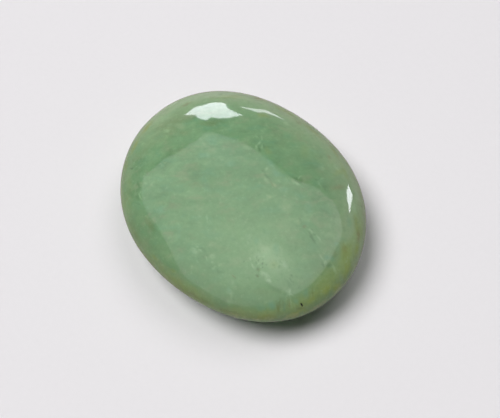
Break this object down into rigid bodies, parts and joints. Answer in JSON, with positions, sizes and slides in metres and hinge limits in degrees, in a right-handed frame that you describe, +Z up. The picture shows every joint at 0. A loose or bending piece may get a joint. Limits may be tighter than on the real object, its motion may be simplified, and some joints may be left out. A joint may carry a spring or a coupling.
{
  "type": "palm stone",
  "caption": "Oval palm stone of pale green translucent stone, rounded and polished all over, with a domed top and a small flat spot underneath.",
  "frame": {"origin": "middle of the stone's bounding box, on the plane of the small flat spot that it rests on", "axes": "+X along the stone's length, +Y across its width, +Z up out of the domed top"},
  "size_m": [0.06, 0.05, 0.0184],
  "materials": {
    "green_stone": "high polish"
  },
  "bodies": {
    "root": {"palm_stone": "green_stone"}
  },
  "joints": []
}
